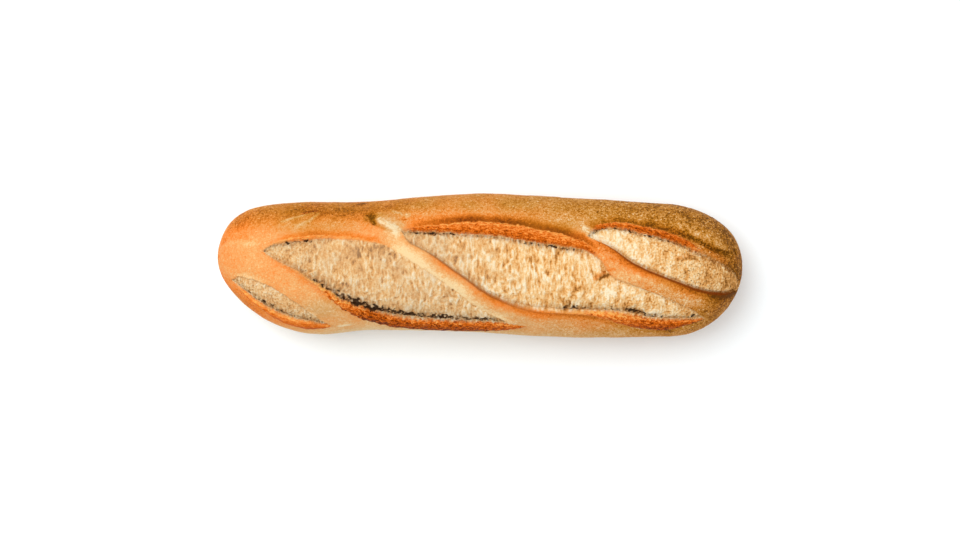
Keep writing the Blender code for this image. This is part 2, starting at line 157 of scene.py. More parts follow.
# Each edge runs through points of place, angle, depth of the gap inside it, height of the
# lip outside it, width of the torn face on that lip, how much of the gap is painted dark,
# as shade in the opening and as burnt edges, how dark the torn face baked, and how strong
# the brown furrow behind the lip is, its brown partly painted shade, or the pale stretched
# band there where it is negative. Then come how much the crumb sinks at each edge and
# swells between them, how ragged the upper and the lower edge are, how much their torn
# faces split into layers, and the width of the torn crumb between the lower edge and its
# dark gap, with the place from which it shows.
CUTS = {
    "left_low": {
        "upper": (
            (-103.6, -40, 0.3, 0.2, 0.3, 0, 0, 0), (-99.9, -24, 0.5, 0.4, 0.3, 0, 0, -0.6),
            (-94, -19, 0.5, 0.4, 0.3, 0, 0, -0.8), (-86, -21, 0.5, 0.3, 0.3, 0, 0, 0),
            (-78, -28, 0.4, 0.3, 0.3, 0, 0, 0), (-69.7, -42, 0.3, 0.2, 0.3, 0, 0, 0),
            (-60.9, -61, 0.1, 0.0, 0.3, 0, 0, 0)),
        "lower": (
            (-103.6, -40, 0.3, 0.2, 0.3, 0.9, 0.3, 0), (-97.6, -44, 0.7, 0.5, 1.8, 1.0, 0.2, 0),
            (-90.5, -48, 0.5, 0.7, 2.6, 1.1, 0.2, 0), (-84.5, -51, 0.5, 0.8, 4.6, 1.2, 0.2, 0),
            (-76, -53, 0.4, 0.8, 6.4, 0.9, 0.2, 0), (-71, -54, 0.4, 0.8, 6.4, 1.15, 0.3, 0),
            (-66, -57, 0.8, 0.6, 4.0, 1.2, 0.3, 0), (-60.9, -61, 0.2, 0.2, 0.6, 1.4, 0.3, 0)),
        "sink_at_upper": 0.3, "sink_at_lower": 0.6, "dome": 0.3, "ragged": (0.4, 0.5),
        "layered": (0.5, 0.4), "fringe": (1.3, -110),
    },
    "left": {
        "upper": (
            (-90.5, 10, 0.2, 0.2, 0.3, 0.6, 0, 0), (-86.5, 16, 0.6, 0.4, 0.6, 0.9, -0.2, 0.3),
            (-81, 20, 0.8, 0.5, 1.2, 1.0, -0.1, 1.1), (-72, 23, 0.8, 0.6, 1.6, 1.1, 0, 1.4),
            (-66, 25, 0.6, 0.6, 1.4, 0.6, 0, 1.4), (-56, 24, 0.4, 0.5, 1.2, 0, 0, 1.3),
            (-47, 20.5, 0.3, 0.4, 1.0, 0, -0.1, 1.2), (-40, 16.5, 0.3, 0.2, 0.6, 0, 0, 0.4),
            (-31.5, 6, 0.2, 0.0, 0.3, 0, 0, -0.8), (-13.2, -16.5, 0.2, 0.0, 0.3, 0, 0, -1.0),
            (-0.2, -37.5, 0.2, 0.0, 0.3, 0, 0, -1.0), (9, -49, 0.2, 0.0, 0.3, 0, 0, -1.0),
            (14, -55, 0.2, 0.0, 0.3, 0, 0, -0.6), (20.2, -58.5, 0.1, 0.0, 0.3, 0, 0, 0)),
        "lower": (
            (-90.5, 10, 0.3, 0.2, 0.4, 0.3, 0, 0), (-83, 2, 0.5, 0.4, 0.5, 0.3, -0.2, 0.5),
            (-76, -2, 0.6, 0.5, 0.8, 0.5, -0.2, 0.8), (-70.5, -8, 0.6, 0.6, 1.1, 0.8, -0.15, 0.8),
            (-64, -16.5, 0.6, 0.8, 1.6, 1.35, -0.05, 0.8),
            (-58, -26.5, 0.6, 0.9, 2.6, 1.7, 0.15, 0.6), (-51, -36, 0.6, 1.0, 4.6, 1.9, 0.3, 0.3),
            (-45, -43, 0.5, 1.0, 6.2, 2.0, 0.52, 0), (-41.1, -46.5, 0.4, 1.0, 7.2, 1.9, 0.52, 0),
            (-37.5, -50.5, 0.3, 1.0, 7.6, 1.6, 0.52, 0),
            (-33.9, -54, 0.3, 1.0, 8.2, 1.9, 0.52, 0), (-26.6, -56, 0.3, 1.0, 9.6, 1.75, 0.52, 0),
            (-19.4, -58, 0.3, 1.0, 10.0, 1.85, 0.52, 0),
            (-8.4, -59.5, 0.3, 0.9, 10.0, 1.65, 0.52, 0),
            (5.9, -57.5, 0.3, 0.8, 7.6, 1.5, 0.4, 0), (15.5, -57.5, 0.3, 0.5, 3.5, 1.35, 0.3, 0),
            (20.2, -58.5, 0.2, 0.2, 0.6, 0.9, 0.4, 0)),
        "sink_at_upper": 0.0, "sink_at_lower": 1.0, "dome": 0.4, "ragged": (0.5, 0.5),
        "layered": (0.5, 1.0), "fringe": (1.8, -46),
    },
    "middle": {
        "upper": (
            (-32.3, 28, 0.4, 0.3, 0.8, 1.0, 0.4, 0.5), (-26, 28, 0.6, 0.5, 1.8, 1.4, 0.3, 1.4),
            (-16, 26, 0.6, 0.8, 3.2, 1.4, 0.2, 1.8), (-6.4, 24, 0.6, 1.0, 5.2, 0.8, 0.2, 2.0),
            (8.1, 22, 0.5, 1.2, 5.8, 0.9, 0.2, 2.3), (22.7, 18, 0.5, 1.3, 6.0, 1.15, 0.24, 2.9),
            (35.1, 16, 0.5, 1.1, 4.6, 1.3, 0.14, 3.0), (43.4, 13, 0.7, 0.7, 2.6, 0.6, 0.3, 2.0),
            (49.5, 5, 0.6, 0.2, 0.5, 0, 0.3, 0), (54, -5, 0.6, 0.0, 0.4, 0, 0.3, 0),
            (63.4, -12, 0.4, 0.0, 0.4, 0, 0.3, 0), (77.8, -23, 0.4, 0.0, 0.4, 0, 0.3, 0),
            (87.7, -36, 0.4, 0.0, 0.4, 0, 0.3, 0), (93.6, -53, 0.1, 0.0, 0.3, 0, 0.3, 0)),
        "lower": (
            (-32.3, 27, 0.6, 0.2, 0.4, 0, 0.4, 0.3), (-30, 19, 0.9, 0.2, 0.4, 0, 0.4, 1.2),
            (-21.5, 8, 1.1, 0.2, 0.5, 0, 0.4, 1.5), (-8.4, -8, 1.2, 0.3, 0.5, 0, 0.4, 1.6),
            (4, -24, 1.2, 0.4, 0.6, 0, 0.3, 1.8), (16.5, -34, 1.0, 0.5, 0.9, 0, 0.2, 1.8),
            (28.9, -37.5, 0.8, 0.7, 0.9, 0.5, 0.1, 1.6), (38, -38, 0.7, 0.8, 1.1, 1.35, 0.1, 1.6),
            (45.6, -38, 0.7, 0.9, 1.6, 1.0, 0.1, 1.6),
            (57.9, -39, 0.4, 1.1, 5.6, 1.15, 0.15, 0.8), (62, -41, 0.4, 1.1, 6.4, 1.6, 0.2, 0.6),
            (66.3, -43.5, 0.4, 1.1, 6.8, 1.3, 0.35, 0.6),
            (76.3, -47, 0.4, 1.0, 6.8, 0.95, 0.45, 0.6), (87, -49, 0.4, 0.7, 3.0, 0.85, 0.5, 0.4),
            (93.6, -53, 0.3, 0.2, 0.6, 0.8, 0.5, 0)),
        "sink_at_upper": 0.8, "sink_at_lower": 0.8, "dome": 0.5, "ragged": (0.35, 0.15),
        "layered": (0.8, 0.9), "fringe": (1.2, -110),
    },
    "right": {
        "upper": (
            (44.3, 25, 0.5, 0.2, 0.5, 0.9, 0.5, 0.2), (47.6, 32.5, 0.7, 0.4, 1.4, 1.6, 0.4, 1.2),
            (53, 36, 0.6, 0.7, 2.0, 1.3, 0.26, 1.7), (65.4, 32, 0.6, 1.0, 3.0, 1.1, 0.3, 1.8),
            (75.3, 27.5, 0.6, 1.1, 3.3, 1.0, 0.34, 2.0),
            (82, 23.5, 0.7, 1.0, 2.6, 1.0, 0.34, 1.4), (88, 18.5, 0.6, 0.8, 1.6, 0.9, 0.3, 0.3),
            (95.1, 12, 0.5, 0.7, 0.6, 0.6, 0.3, 0), (104, 0, 0.4, 0.4, 0.4, 0.3, 0.5, 0),
            (107.6, -27, 0.3, 0.2, 0.8, 0, 0.8, 0), (108.6, -90, 0.1, 0.0, 0.5, 0, 0.8, 0)),
        "lower": (
            (44.3, 25, 0.5, 0.2, 0.4, 0, 0.6, 0.3), (53, 17, 1.2, 0.2, 0.4, 0, 0.6, 1.4),
            (63, 4, 1.5, 0.2, 0.4, 0, 0.6, 1.8), (72.8, -3, 1.6, 0.2, 0.4, 0, 0.6, 1.9),
            (82.7, -10, 1.6, 0.3, 0.4, 0, 0.6, 1.9), (92.7, -19, 1.6, 0.4, 0.4, 0, 0.6, 2.0),
            (100, -28, 1.3, 0.3, 0.4, 0, 0.6, 2.0), (105, -41, 0.9, 0.2, 0.4, 0, 0.6, 1.6),
            (107.4, -62, 0.5, 0.0, 0.4, 0, 0.6, 1.0), (108.6, -90, 0.1, 0.0, 0.4, 0, 0.6, 0)),
        "sink_at_upper": 0.7, "sink_at_lower": 0.8, "dome": 1.1, "ragged": (0.4, 0.08),
        "layered": (0.8, 1.0), "fringe": (0.4, -110),
    },
}

EDGE_POINTS = 160
CURVE_RADIUS = LENGTH / 8  # what turns a curve's angles into lengths
SMALLEST_RADIUS = 14 * MM  # of the loaf's section, away from its tips
CUT_REACH = 22 * MM  # how far from an edge it still shapes the crust
BATCH = 8000  # places measured at a time
FAR = 1.0  # farther than any edge


def ease(t):
    """Rise smoothly from 0 to 1 as t does."""
    t = np.clip(t, 0, 1)
    return t * t * (3 - 2 * t)


def rise(values, start, end):
    """Rise smoothly from 0 where the values are at a start to 1 where they are at an end."""
    return ease((values - start) / (end - start))


def bell(t):
    """Fall smoothly from 1 where t is 0 to almost nothing where it is 2 or -2."""
    return np.exp(-t ** 2)


def bumps(places, seed):
    """Smooth noise from about -1 to 1, one bump to each unit of the places."""
    random = np.random.default_rng(seed)
    order = random.permutation(256)
    directions = random.normal(size=(256, 3))
    directions /= np.linalg.norm(directions, axis=1, keepdims=True)
    cell = np.floor(places).astype(int)
    inside = places - cell
    fade = inside ** 3 * (inside * (inside * 6 - 15) + 10)
    total = np.zeros(len(places))
    for corner in np.ndindex(2, 2, 2):
        at = (cell + corner) & 255
        key = order[(order[(order[at[:, 0]] + at[:, 1]) & 255] + at[:, 2]) & 255]
        weight = np.prod(np.where(corner, fade, 1 - fade), axis=1)
        total += weight * ((inside - corner) * directions[key]).sum(axis=1)
    return total * 1.6


def lumps(size, seed, octaves=1):
    """Noise over the whole loaf with bumps of a size in millimetres, the same each way."""
    total = 0
    for octave in range(octaves):
        total = total + bumps(plain / (size * MM) * 2 ** octave, seed + octave) / 2 ** octave
    return total


def curve_on_crust(points):
    """Draw a smooth curve on the plain loaf through rows of place, angle and other values.

    Returns its places and angles, its points in space, how far along it each point is,
    and the other values at each point as columns.
    """
    table = np.array(points, float)
    table[:, 0] *= MM
    table[:, 1] = np.radians(table[:, 1])
    unrolled = table[:, :2] * (1, CURVE_RADIUS)
    steps = np.linalg.norm(np.diff(unrolled, axis=0), axis=1)
    travelled = np.concatenate(([0], np.cumsum(steps)))
    places = np.linspace(0, travelled[-1], EDGE_POINTS)
    curve = np.stack([smooth(travelled, column, places) for column in table.T], axis=1)
    curve[:, 0] = np.clip(curve[:, 0], -LENGTH / 2, LENGTH / 2)
    return curve[:, 0], curve[:, 1], plain_loaf(curve[:, 0], curve[:, 1]), places, curve[:, 2:]


def nearest_on_curve(curve, reach):
    """Find, for each point within a reach of a curve, its distance and the values there.

    The first of the values is how far along the curve the nearest place is.
    """
    line_x, line_angle, line, places, others = curve
    values = np.column_stack((places, others))
    close = (x > line_x.min() - reach) & (x < line_x.max() + reach)
    turn = reach / SMALLEST_RADIUS
    close &= (angle > line_angle.min() - turn) & (angle < line_angle.max() + turn)
    close = np.flatnonzero(close)
    points = plain[close]
    nearest = np.concatenate([
        ((part ** 2).sum(1)[:, None] - 2 * part @ line.T + (line ** 2).sum(1)).argmin(1)
        for part in np.array_split(points, max(1, len(points) // BATCH))
    ])
    nearest = np.clip(nearest, 1, len(line) - 2)
    best = np.full(len(points), np.inf)
    found = np.zeros((len(points), values.shape[1]))
    for start in (nearest - 1, nearest):
        run = line[start + 1] - line[start]
        share = np.clip(((points - line[start]) * run).sum(1) / (run ** 2).sum(1), 0, 1)
        distance = np.linalg.norm(points - line[start] - share[:, None] * run, axis=1)
        closer = distance < best
        best[closer] = distance[closer]
        there = values[start] + share[:, None] * (values[start + 1] - values[start])
        found[closer] = there[closer]
    everywhere = np.full(len(plain), FAR)
    everywhere[close] = best
    wide = np.zeros((len(plain), values.shape[1]))
    wide[close] = found
    return everywhere, wide.T


height = np.zeros(len(x))  # of the relief above the plain loaf
crumb = np.zeros(len(x))  # 1 on the open crumb
torn = np.zeros(len(x))  # 1 on the torn faces of the lips
torn_bake_and_shade = np.zeros(len(x))  # how dark they baked, with painted shade near the gap above a cut
torn_rough = np.zeros(len(x))  # how deeply they split into layers
torn_along = np.zeros(len(x))  # place along the nearest edge, in millimetres
torn_across = np.zeros(len(x))  # place up its torn face from the gap, in millimetres
nearest_edge = np.full(len(x), FAR)
gap_shadow = np.zeros(len(x))  # above 0 where crumb runs down into a dark gap
pits = np.zeros(len(x))  # above about 1 in the dark gaps
shaded_furrows = np.zeros(len(x))  # above 0 along the furrows behind the lips, below 0 where pale
crease_brown_and_shade = np.zeros(len(x))  # 1 in the tight creases at the smooth edges, less beside them

# The noises that make the edges ragged, the shade hairy, the layers wavy and the gaps broken.
coarse_rags, fine_rags, finest_rags = lumps(3.2, 11), lumps(1.2, 12), lumps(0.7, 18)
ragged_edge = coarse_rags + 0.7 * fine_rags + 0.5 * finest_rags  # of the crumb
ragged_rim = 0.6 * coarse_rags + fine_rags  # of the torn faces, where the skin begins
hair_places = np.stack((x / (0.9 * MM), round_loaf / (3.2 * MM), 0 * x), axis=1)
hairs = bumps(hair_places, 13) + 0.5 * lumps(0.8, 14)
layer_drift = lumps(5, 15)
blots = lumps(1.9, 19) + 0.6 * lumps(0.9, 39)

# The wall between gap and lip, the lip with the dip behind it, and the swell of the crumb.
WALL_WIDTH = 0.55 * MM
GAP_WIDTH = 1.6 * MM
LIP_CREST, LIP_SPREAD = 0.32, 0.5  # as shares of the torn band
DIP_SHARE, DIP_PLACE, DIP_WIDTH = 0.4, 0.3 * MM, 1.5 * MM  # the share is of the lip's height
CRUMB_TAPER = 8 * MM  # a cut narrower than this swells and sinks less

# A deep edge that has no dark gap closes to a tight crease, painted as a dark line, part
# crust brown and part shade, with a faint painted shade on the crumb beside it.
CREASE_DEPTH, CREASE_DEPTH_RISE = 0.6 * MM, 1.0 * MM
CREASE_FADES_BY_DARK = 3
CREASE_NARROWS = 0.45  # of the gap's width
CRUMB_KEEPS_OFF = 0.3 * MM
CREASE_PLACE, CREASE_WIDTH = -0.15 * MM, 0.45 * MM
CREASE_STRENGTH, CREASE_BY_FURROW = 0.3, 0.45
TUCK_SHADE_STRENGTH, TUCK_SHADE_WIDTH = 0.2, 1.1 * MM

# The torn face runs from just inside the edge to a ragged rim, and needs a band to show on.
FACE_START, FACE_START_WIDTH = 0.35 * MM, 0.3 * MM
RIM_SHARE, RIM_MOST, RIM_WIDTH = 0.2, 0.35 * MM, 0.5 * MM
NARROWEST_BAND, FACE_FROM_BAND, FACE_BAND_RISE = 0.3 * MM, 0.6 * MM, 1.2 * MM
LAYER_LENGTH, LAYER_DEPTH, LAYER_CHANGE = 2.4 * MM, 0.9 * MM, 9 * MM
LAYER_RELIEF, LAYER_WANDER = 0.3 * MM, 0.5 * MM

# Faces above a cut are painted darkest near the gap, as shade under the lip, those below it
# or at the tip are darker far from it, and all have a paler line where they begin.
EVEN_BAKE = 0.27
UPPER_TILT, LOWER_TILT, TIP_TILT = -0.45, 0.35, 0.4
TILT_MIDDLE = 0.4  # of the torn band
towards_tip = rise(place, 76, 92)
PALE_LINE, PALE_LINE_PLACE, PALE_LINE_WIDTH = 0.3, 0.8 * MM, 0.6 * MM

# The dark gap lies inside a fringe of torn crumb. The more of it is dark, the wider it is.
# Both are narrower at an upper edge, by the two shares.
GAP_REACH, REACH_BY_DARK = 1.2 * MM, 1.5 * MM
FRINGE_RISE = 14 * MM
FRINGE_AT_UPPER, REACH_AT_UPPER = 0.3, 0.55
GAP_EDGE_PLACE, GAP_EDGE_WIDTH = -0.3 * MM, 0.5 * MM
GAP_FADES_FROM = 0.4  # of its reach
PIT_FROM, PIT_BASE, PIT_BY_DEPTH, PIT_BY_BLOTS = 0.2, -0.2, 0.8, 1.2
SHADOW_MOST, SHADOW_WIDTH, SHADOW_BY_REACH = 1.6, 0.5 * MM, 0.8
SHADOW_EVEN, SHADOW_HAIRS = 0.6, 0.9

# The furrow lies just behind the rim, wider where it is stronger, and is painted browner,
# partly as shade behind the lip.
FURROW_SHARE, FURROW_MOST = 0.3, 0.5 * MM
FURROW_WIDTH, FURROW_WIDENS = 0.9 * MM, 0.75 * MM
FURROW_STRENGTH = 0.32

for cut in CUTS.values():
    edges = {side: curve_on_crust(cut[side]) for side in ("upper", "lower")}
    lower_angle = np.interp(x, edges["lower"][0], edges["lower"][1])
    upper_angle = np.interp(x, edges["upper"][0], edges["upper"][1])
    inside = (angle > lower_angle) & (angle < upper_angle)
    inside &= (x > edges["upper"][0][0]) & (x < edges["upper"][0][-1])
    middle_angle = (lower_angle + upper_angle) / 2
    fringe_width, fringe_start = cut["fringe"]
    fringe_rise = ease((x - fringe_start * MM) / FRINGE_RISE)
    side_distances = {}
    for side, ragged, layered in zip(("upper", "lower"), cut["ragged"], cut["layered"]):
        upper = side == "upper"
        distance, (along, *sizes, dark, bake, furrow) = nearest_on_curve(edges[side], CUT_REACH)
        gap, lip, band = (size * MM for size in sizes)
        band = np.maximum(band, NARROWEST_BAND)
        own_side = (angle > middle_angle) if upper else (angle < middle_angle)
        within = np.where(inside, distance, -distance) + ragged * MM * ragged_edge
        outside = np.maximum(-within, 0)
        wall = ease(0.5 + within / WALL_WIDTH)
        crease_edge = ease((gap - CREASE_DEPTH) / CREASE_DEPTH_RISE) * own_side
        crease_edge = crease_edge * ease(1 - CREASE_FADES_BY_DARK * dark)

        # the relief on both sides of the edge
        hollow_width = GAP_WIDTH * (1 - CREASE_NARROWS * crease_edge)
        hollow = -gap * bell(np.maximum(within, 0) / hollow_width)
        raised = lip * bell((outside - LIP_CREST * band) / (LIP_SPREAD * band))
        raised -= DIP_SHARE * lip * bell((outside - band - DIP_PLACE) / DIP_WIDTH)
        height += wall * hollow + (1 - wall) * raised

        # the crease: a dark line, part crust brown and part painted shade, and painted shade on the
        # crumb beside it
        line = bell((within - CREASE_PLACE) / CREASE_WIDTH)
        line *= crease_edge * (CREASE_STRENGTH + CREASE_BY_FURROW * furrow)
        tuck_shade = TUCK_SHADE_STRENGTH * crease_edge * bell(np.maximum(within, 0) / TUCK_SHADE_WIDTH) * (within > 0)
        crease_brown_and_shade = np.maximum(crease_brown_and_shade, np.maximum(np.minimum(line, 1), tuck_shade))

        # the torn face, its bake with painted shade near the gap above a cut, and its layers
        rim = band + np.minimum(RIM_SHARE * band, RIM_MOST) * ragged_rim
        face = ease((FACE_START - within) / FACE_START_WIDTH) * ease((rim - outside) / RIM_WIDTH)
        face *= ease((band - FACE_FROM_BAND) / FACE_BAND_RISE) * own_side
        across = (1 - wall) * (gap + lip) - within + LAYER_WANDER * layer_drift
        tilt = UPPER_TILT + (TIP_TILT - UPPER_TILT) * towards_tip if upper else LOWER_TILT
        bake = bake + EVEN_BAKE + tilt * (np.minimum(outside / band, 1) - TILT_MIDDLE)
        bake -= PALE_LINE * bell((across - PALE_LINE_PLACE) / PALE_LINE_WIDTH)
        torn_bake_and_shade = np.where(face > torn, bake, torn_bake_and_shade)
        torn_rough = np.where(face > torn, layered, torn_rough)
        torn = np.maximum(torn, face)
        closest = distance < nearest_edge
        nearest_edge = np.where(closest, distance, nearest_edge)
        torn_along = np.where(closest, along / MM, torn_along)
        torn_across = np.where(closest, across / MM, torn_across)
        layer_places = (along / LAYER_LENGTH, across / LAYER_DEPTH, x / LAYER_CHANGE)
        layers = bumps(np.stack(layer_places, axis=1), 16)
        height += face * layers * layered * LAYER_RELIEF

        # the dark gap, painted as shade in the opening and as burnt edges, and the painted shade on the
        # crumb beside it
        reach = (GAP_REACH + REACH_BY_DARK * dark) * (REACH_AT_UPPER if upper else 1)
        fringe = fringe_width * MM * fringe_rise * (FRINGE_AT_UPPER if upper else 1)
        beyond_fringe = within - fringe
        begun = ease((beyond_fringe - GAP_EDGE_PLACE) / GAP_EDGE_WIDTH)
        deep = dark * (1 - ease(beyond_fringe / reach - GAP_FADES_FROM)) * begun
        pit = PIT_BASE + PIT_BY_DEPTH * deep + PIT_BY_BLOTS * blots
        pits = np.maximum(pits, np.where(deep > PIT_FROM, pit, 0))
        shadow = np.minimum(dark, SHADOW_MOST) * begun
        shadow *= bell(beyond_fringe / (SHADOW_WIDTH + SHADOW_BY_REACH * reach))
        gap_shadow = np.maximum(gap_shadow, shadow * (SHADOW_EVEN + SHADOW_HAIRS * hairs))

        # the furrow behind the lip, painted browner partly as shade, or the pale band there
        behind = outside - band - np.minimum(FURROW_SHARE * band, FURROW_MOST)
        furrow_width = FURROW_WIDTH + FURROW_WIDENS * np.abs(furrow)
        strand = FURROW_STRENGTH * furrow * bell(behind / furrow_width)
        strand *= (within < 0) * (1 - face) * own_side
        shaded_furrows = np.where(np.abs(strand) > np.abs(shaded_furrows), strand, shaded_furrows)
        side_distances[side] = (distance, within - CRUMB_KEEPS_OFF * crease_edge)

    width = side_distances["upper"][0] + side_distances["lower"][0]
    from_lower = side_distances["lower"][0] / width
    swell = 4 * cut["dome"] * from_lower * (1 - from_lower)
    swell -= cut["sink_at_upper"] * from_lower ** 2 + cut["sink_at_lower"] * (1 - from_lower) ** 2
    nearest_side = np.minimum(side_distances["upper"][1], side_distances["lower"][1])
    open_here = ease(0.5 + nearest_side / WALL_WIDTH) * inside
    height += open_here * swell * MM * ease(width / CRUMB_TAPER)
    crumb = np.maximum(crumb, open_here)

# ----------------------------------------------------------------------------------------
# The folds. Crust left between two cuts is pushed up into a smooth round roll. Above the
# start of the middle cut the skin is pinched into a pit beside a hard pale ridge, and at
# the right tip a short cut has barely opened under a rounded bulge.

# Each fold runs through points of place, angle, height and half width in millimetres, and
# makes the crust there browner and more orange, or paler where these are negative. Where a
# sunken fold is made browner, that is painted shade in its hollow. An orange fold on the
# crumb is a scrap of skin.
FOLDS = (
    # the rolls between the cuts
    (((-39, 37, 0.8, 4.5), (-31, 19, 1.6, 5.0), (-21, 1, 2.0, 5.2), (-8, -17, 2.0, 5.2),
      (8, -36, 1.8, 5.0), (26, -46, 1.0, 5.0)), -0.07, -0.15),
    (((42, 21, 0.6, 3.5), (48, 13, 1.8, 3.6), (58, 0, 2.2, 4.0), (72, -10, 2.2, 4.4),
      (86, -21, 1.8, 4.6), (98, -38, 1.0, 5.0)), 0, 0),
    (((-98, -6, 0.2, 5.0), (-80, -18, 0.7, 6.0), (-62, -32, 0.9, 6.5), (-50, -50, 0.4, 6.0)), -0.04, 0),
    # the pinched skin above the start of the middle cut: its ridge's pale is partly painted light,
    # and its pit and groove are painted shade
    (((-45, 47, 0, 0.8), (-42, 40.5, 0.7, 1.3), (-38.6, 34.5, 1.1, 1.6), (-35.3, 29.5, 0.8, 1.7),
      (-32, 24, 0, 1.6)), -0.35, -0.6),
    (((-45, 50, 0, 2.5), (-40, 44, 0.4, 3.0), (-34, 34, 0.2, 2.6), (-31, 28, 0, 2.0)), -0.18, -0.5),
    (((-45, 41, -0.2, 0.7), (-42.2, 36, -0.8, 0.8), (-38.6, 30.5, -0.7, 0.7),
      (-34.6, 26.5, -0.2, 0.6)), 0.3, -0.4),
    (((-46, 53, 0, 1.2), (-44.6, 46, -1.1, 1.4), (-43.8, 41, -1.2, 1.2),
      (-43.2, 35, 0, 1.0)), 0.45, -0.2),
    (((-49, 46, 0, 2.0), (-44.8, 45, -0.3, 3.0), (-42, 40, 0, 2.0)), 0.2, -0.4),
    (((-39.5, 33, 0, 2.0), (-35.5, 25, -0.1, 2.6), (-33.5, 19, 0, 2.0)), -0.08, -0.3),
    (((-36.8, 56, 0, 0.5), (-35.2, 51, 0.2, 0.6), (-33, 49, 0.2, 0.5),
      (-32.2, 45, 0, 0.5)), -0.3, -0.6),
    (((-32.8, 42, 0, 0.9), (-31.4, 41, -0.2, 1.0), (-30.6, 39.5, 0, 0.8)), 0.2, 0.2),
    (((-31.5, 47, 0, 1.0), (-30, 46, 0.1, 1.3), (-28.5, 45, 0, 1.0)), -0.22, -0.4),
    # the crease round the left tip and the swelling beside it
    (((-109, 40, 0, 1.0), (-107, 31, -0.2, 1.2), (-101.6, 24.5, -0.15, 1.6),
      (-94, 22.5, 0, 1.6)), 0.14, 0.4),
    (((-108, 28, 0, 1.5), (-101.6, 20, 0.2, 2.2), (-96, 17.5, 0.15, 2.4),
      (-90, 17, 0, 2.0)), -0.10, -0.1),
    # flaps and scraps above, on and below the left cuts
    (((-84, 40.6, 0, 0.7), (-75.6, 47.7, 0.2, 0.7), (-66.3, 58.2, 0, 0.7)), -0.25, -0.6),
    (((-76.6, 35, 0, 0.7), (-70.1, 44.4, 0.2, 0.7), (-66, 57, 0, 0.6)), -0.28, -0.6),
    (((-74.8, 51, 0, 0.8), (-70.5, 55, -0.15, 0.9), (-66.5, 58.5, 0, 0.6)), 0.2, 0.7),
    (((-91.9, -33.5, 0, 0.6), (-89.8, -25.8, -0.5, 0.8), (-85.5, -20.6, 0, 0.7)), 0.1, -0.3),
    (((-71.5, -38.5, 0, 0.6), (-68, -46, 0.2, 0.7), (-64.6, -55.5, 0, 0.6)), -0.2, -0.3),
    (((-60, -62, 0, 0.8), (-56.5, -60.5, 0.4, 0.9), (-52.5, -60, 0, 0.8)), -0.25, -0.6),
    (((-51, 70, 0, 0.8), (-49.5, 73, 0.3, 1.2), (-47.5, 76, 0, 0.8)), 0.35, 0),
    (((-113, -3, 0, 1.2), (-109.6, -2.6, 0, 1.4), (-108.5, -2.5, 0, 1.2)), 0.15, 0.3),
    # scraps and nicks on the rolls and edges of the right half; the sunken nicks are painted
    # dark as shade, some as the shadow of a raised scrap beside them
    (((46, -9, 0, 0.9), (49.3, -5, 0.5, 1.2), (52.5, -1.8, 0, 0.9)), 0.45, 0.5),
    (((48.5, -9.5, 0, 0.8), (51.2, -6.2, -0.8, 1.0), (54.2, -3.5, 0, 0.8)), 0.9, -0.5),
    (((34.8, -19.6, 0, 0.8), (38.6, -16.5, 0.3, 1.0), (42, -13.4, 0.3, 1.0),
      (42.6, -9.5, 0, 0.8)), 0.4, 0.1),
    (((57, -33, 0, 0.8), (62, -28.7, 0.2, 1.0), (67.5, -26, 0, 0.8)), 0.3, 0.1),
    (((79.4, 8, 0, 0.8), (84.8, 10.3, 0.4, 1.0), (89.4, 12, 0, 0.8)), 0.5, 0.4),
    (((80.5, 6.5, 0, 0.6), (85.4, 8.6, -0.3, 0.7), (90, 10.4, 0, 0.6)), 0.6, -0.3),
    (((78.6, 24.2, 0, 0.6), (82.7, 23.4, -0.4, 0.7), (86, 21.6, -0.4, 0.7),
      (88.5, 16.5, 0, 0.6)), 0.5, 0),
    (((87.6, 10.5, 0, 0.5), (89.8, 7.5, -0.4, 0.7), (91.6, 5, 0, 0.5)), 0.6, 0),
    # the short cut at the right tip: bulge, valley painted dark as shade, crumb, and dark line
    # painted as shade in the cut
    (((85, 43, 0.2, 3.5), (91, 38, 1.0, 4.2), (97, 33, 1.2, 4.2), (102, 29, 0.7, 3.2)), -0.05, 0.1),
    (((80, 37, 0, 1.2), (85, 32, -0.4, 1.4), (88.5, 28.8, -0.9, 1.5), (92.4, 25.4, -1.1, 1.5),
      (95.7, 22, -1.1, 1.5), (100.5, 18, -0.9, 1.3), (105.5, 19, 0, 0.9)), 0.4, 0.1),
    (((86, 35, 0, 1.0), (89.7, 32.5, 0.3, 1.5), (92.4, 30, 0.3, 1.8), (96, 27, 0.3, 1.9),
      (101.6, 23.5, 0.2, 1.5), (105.3, 23.5, 0, 1.0)), -0.24, -0.2),
    (((86, 35, 0, 0.6), (88, 33.5, 0.3, 0.8), (90.5, 32, 0, 0.6)), -0.35, -0.3),
    (((90, 26.5, 0, 0.5), (94, 23, -0.3, 0.6), (98.5, 20.5, -0.4, 0.6), (102.5, 20, -0.3, 0.6),
      (105.6, 22, 0, 0.5)), 0.55, 0),
    (((82, 28, 0.2, 1.6), (88, 23, 0.5, 1.8), (93, 18.5, 0.6, 1.8), (99, 11, 0.5, 1.8),
      (105, 3, 0, 1.4)), -0.04, 0.3),
    # the start of the right cut, with a nick beside it painted dark as shade, and a nick at the
    # right tip painted dark as shade
    (((42, 35, 0, 1.2), (45, 29, 0.5, 1.7), (48, 22, 0, 1.2)), -0.36, -0.5),
    (((46.4, 33.5, 0, 0.5), (49, 36, -0.5, 0.7), (53, 38, 0, 0.5)), 0.8, 0),
    (((105.2, 31, 0, 0.7), (106.3, 26.5, -0.7, 0.8), (106, 21.5, 0, 0.6)), 0.9, -0.5),
)
fold_brown_and_shade = np.zeros(len(x))
fold_warm = np.zeros(len(x))
fold_ragged = np.clip(1 + 0.9 * lumps(1.3, 40), 0.1, 1.8)
FOLD_REACH = 2.5  # times its half width
NARROWEST_FOLD = 0.3 * MM
FOLD_FADE = 0.2  # of its length, at each end, where its colour fades in
